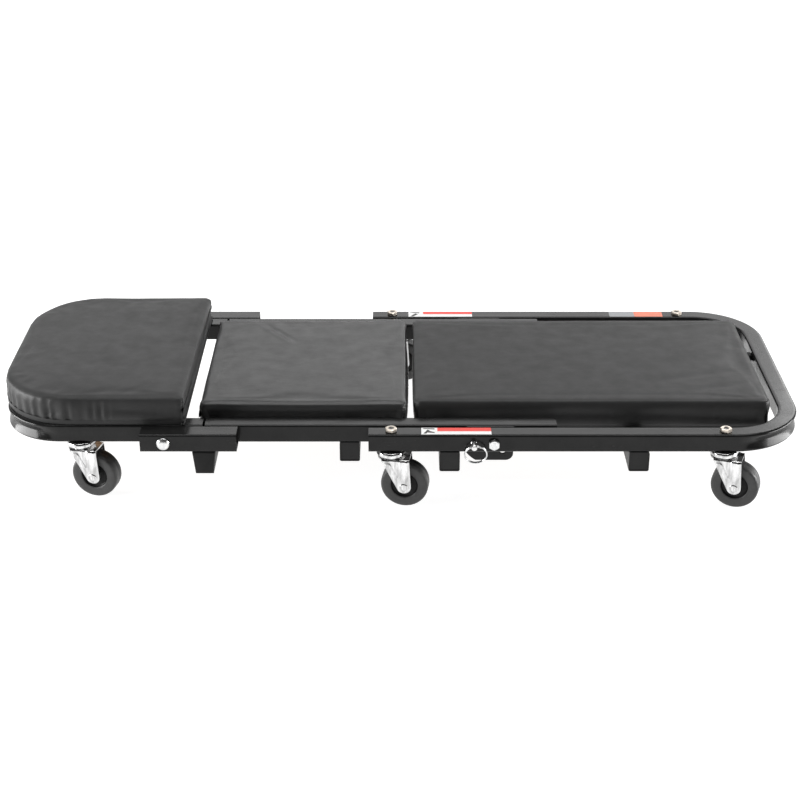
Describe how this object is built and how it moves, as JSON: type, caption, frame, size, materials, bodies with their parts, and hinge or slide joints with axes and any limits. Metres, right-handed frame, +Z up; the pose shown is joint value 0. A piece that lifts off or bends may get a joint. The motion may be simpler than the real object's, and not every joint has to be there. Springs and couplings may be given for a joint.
{
  "type": "mechanics creeper",
  "caption": "Low wheeled bed for working under a car, with padded head, middle and leg sections on a square-tube frame that folds into a seat.",
  "frame": {"origin": "on the floor, under the middle of the object's box", "axes": "+X towards the foot end, +Y to the left of a person lying on their back, +Z up"},
  "size_m": [1.08, 0.4461, 0.144],
  "materials": {
    "powder_coat": "semi-gloss black powder coat",
    "pressed_steel": "satin dark grey paint",
    "plywood": "bare plywood",
    "leatherette": "matt black leatherette over foam",
    "chrome": "bright chrome plate",
    "nickel": "satin nickel plate",
    "zinc": "bright zinc plate",
    "wheel": "charcoal moulded plastic",
    "label": "printed film without text"
  },
  "bodies": {
    "base": {"base_frame": "powder_coat", "base_cross_fold": "pressed_steel", "base_cross_foot": "pressed_steel", "leg_board": "plywood", "leg_cushion": "leatherette", "pivot_bolt_right": "zinc", "pivot_nut_right": "zinc", "pivot_bolt_left": "zinc", "pivot_nut_left": "zinc", "caster_mid_right_nut": "nickel", "caster_mid_right_stem": "chrome", "caster_mid_left_nut": "nickel", "caster_mid_left_stem": "chrome", "caster_foot_right_nut": "nickel", "caster_foot_right_stem": "chrome", "caster_foot_left_nut": "nickel", "caster_foot_left_stem": "chrome"},
    "middle": {"middle_rail_right": "powder_coat", "middle_rail_left": "powder_coat", "middle_cross_mid": "pressed_steel", "middle_cross_head": "pressed_steel", "middle_board": "plywood", "middle_cushion": "leatherette", "hinge_channel_right": "powder_coat", "lock_plate_right": "powder_coat", "hinge_bolt_right": "zinc", "hinge_nut_right": "zinc", "hinge_channel_left": "powder_coat", "lock_plate_left": "powder_coat", "hinge_bolt_left": "zinc", "hinge_nut_left": "zinc"},
    "head": {"head_frame": "powder_coat", "head_board": "plywood", "head_cushion": "leatherette", "caster_head_right_nut": "nickel", "caster_head_right_stem": "chrome", "caster_head_left_nut": "nickel", "caster_head_left_stem": "chrome"},
    "lock_pin_right": {"lock_pin_right": "zinc"},
    "pin_ring_right": {"pin_ring_right": "zinc"},
    "lock_pin_left": {"lock_pin_left": "zinc"},
    "pin_ring_left": {"pin_ring_left": "zinc"},
    "caster_head_right_fork": {"caster_head_right_fork": "chrome", "caster_head_right_axle": "zinc"},
    "caster_head_right_wheel": {"caster_head_right_wheel": "wheel"},
    "caster_head_left_fork": {"caster_head_left_fork": "chrome", "caster_head_left_axle": "zinc"},
    "caster_head_left_wheel": {"caster_head_left_wheel": "wheel"},
    "caster_mid_right_fork": {"caster_mid_right_fork": "chrome", "caster_mid_right_axle": "zinc"},
    "caster_mid_right_wheel": {"caster_mid_right_wheel": "wheel"},
    "caster_mid_left_fork": {"caster_mid_left_fork": "chrome", "caster_mid_left_axle": "zinc"},
    "caster_mid_left_wheel": {"caster_mid_left_wheel": "wheel"},
    "caster_foot_right_fork": {"caster_foot_right_fork": "chrome", "caster_foot_right_axle": "zinc"},
    "caster_foot_right_wheel": {"caster_foot_right_wheel": "wheel"},
    "caster_foot_left_fork": {"caster_foot_left_fork": "chrome", "caster_foot_left_axle": "zinc"},
    "caster_foot_left_wheel": {"caster_foot_left_wheel": "wheel"}
  },
  "joints": [
    {"name": "fold_middle", "type": "hinge", "parent": "base", "child": "middle", "pos_m": [0.1236, 0, 0.0935], "axis": [0, 1, 0], "range_deg": [0, 120]},
    {"name": "fold_head", "type": "hinge", "parent": "middle", "child": "head", "pos_m": [-0.3112, 0, 0.0935], "axis": [0, -1, 0], "range_deg": [0, 120]},
    {"name": "caster_head_right_swivel", "type": "hinge", "parent": "head", "child": "caster_head_right_fork", "pos_m": [-0.427, -0.168, 0.0702], "axis": [0, 0, 1], "continuous": true},
    {"name": "caster_head_right_spin", "type": "hinge", "parent": "caster_head_right_fork", "child": "caster_head_right_wheel", "pos_m": [-0.40849, -0.17227, 0.03175], "axis": [0.225, 0.9744, 0], "continuous": true},
    {"name": "caster_head_left_swivel", "type": "hinge", "parent": "head", "child": "caster_head_left_fork", "pos_m": [-0.427, 0.168, 0.0702], "axis": [0, 0, 1], "continuous": true},
    {"name": "caster_head_left_spin", "type": "hinge", "parent": "caster_head_left_fork", "child": "caster_head_left_wheel", "pos_m": [-0.40849, 0.16373, 0.03175], "axis": [0.225, 0.9744, 0], "continuous": true},
    {"name": "caster_mid_right_swivel", "type": "hinge", "parent": "base", "child": "caster_mid_right_fork", "pos_m": [-0.0118, -0.1965, 0.0702], "axis": [0, 0, 1], "continuous": true},
    {"name": "caster_mid_right_spin", "type": "hinge", "parent": "caster_mid_right_fork", "child": "caster_mid_right_wheel", "pos_m": [0.00702, -0.19914, 0.03175], "axis": [0.1392, 0.9903, 0], "continuous": true},
    {"name": "caster_mid_left_swivel", "type": "hinge", "parent": "base", "child": "caster_mid_left_fork", "pos_m": [-0.0118, 0.1965, 0.0702], "axis": [0, 0, 1], "continuous": true},
    {"name": "caster_mid_left_spin", "type": "hinge", "parent": "caster_mid_left_fork", "child": "caster_mid_left_wheel", "pos_m": [0.00702, 0.19386, 0.03175], "axis": [0.1392, 0.9903, 0], "continuous": true},
    {"name": "caster_foot_right_swivel", "type": "hinge", "parent": "base", "child": "caster_foot_right_fork", "pos_m": [0.429, -0.1965, 0.0702], "axis": [0, 0, 1], "continuous": true},
    {"name": "caster_foot_right_spin", "type": "hinge", "parent": "caster_foot_right_fork", "child": "caster_foot_right_wheel", "pos_m": [0.44685, -0.203, 0.03175], "axis": [0.342, 0.9397, 0], "continuous": true},
    {"name": "caster_foot_left_swivel", "type": "hinge", "parent": "base", "child": "caster_foot_left_fork", "pos_m": [0.423, 0.1965, 0.0702], "axis": [0, 0, 1], "continuous": true},
    {"name": "caster_foot_left_spin", "type": "hinge", "parent": "caster_foot_left_fork", "child": "caster_foot_left_wheel", "pos_m": [0.44085, 0.19, 0.03175], "axis": [0.342, 0.9397, 0], "continuous": true},
    {"name": "lock_pin_right_slide", "type": "slide", "parent": "base", "child": "lock_pin_right", "axis": [0, -1, 0], "range_m": [-0.0033, 0.045]},
    {"name": "lock_pin_left_slide", "type": "slide", "parent": "base", "child": "lock_pin_left", "axis": [0, 1, 0], "range_m": [-0.0033, 0.045]},
    {"name": "pin_ring_right_swing", "type": "hinge", "parent": "lock_pin_right", "child": "pin_ring_right", "pos_m": [0.0971, -0.2171, 0.0935], "axis": [-1, 0, 0], "range_deg": [0, 100]},
    {"name": "pin_ring_left_swing", "type": "hinge", "parent": "lock_pin_left", "child": "pin_ring_left", "pos_m": [0.0971, 0.2171, 0.0935], "axis": [1, 0, 0], "range_deg": [0, 100]}
  ]
}
